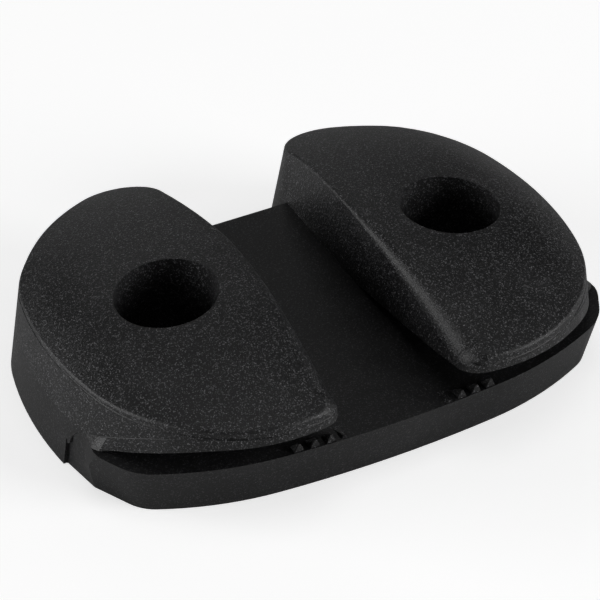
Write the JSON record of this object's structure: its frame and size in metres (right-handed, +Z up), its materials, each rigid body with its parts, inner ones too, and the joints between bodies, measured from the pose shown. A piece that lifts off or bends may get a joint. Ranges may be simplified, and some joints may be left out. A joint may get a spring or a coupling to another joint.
{
  "type": "zig zag cleat",
  "caption": "Low moulded rope cleat: domed half-moon lobes on a plate, with a rope channel between them and toothed wedge jaws under their horns.",
  "frame": {"origin": "on the deck face, midway between the screw holes", "axes": "+X from the left screw to the right one, +Y along the rope channel towards the back, +Z up from the deck"},
  "size_m": [0.0822, 0.0645, 0.0205],
  "materials": {
    "nylon": "grained"
  },
  "bodies": {
    "root": {"cleat_body": "nylon"}
  },
  "joints": []
}
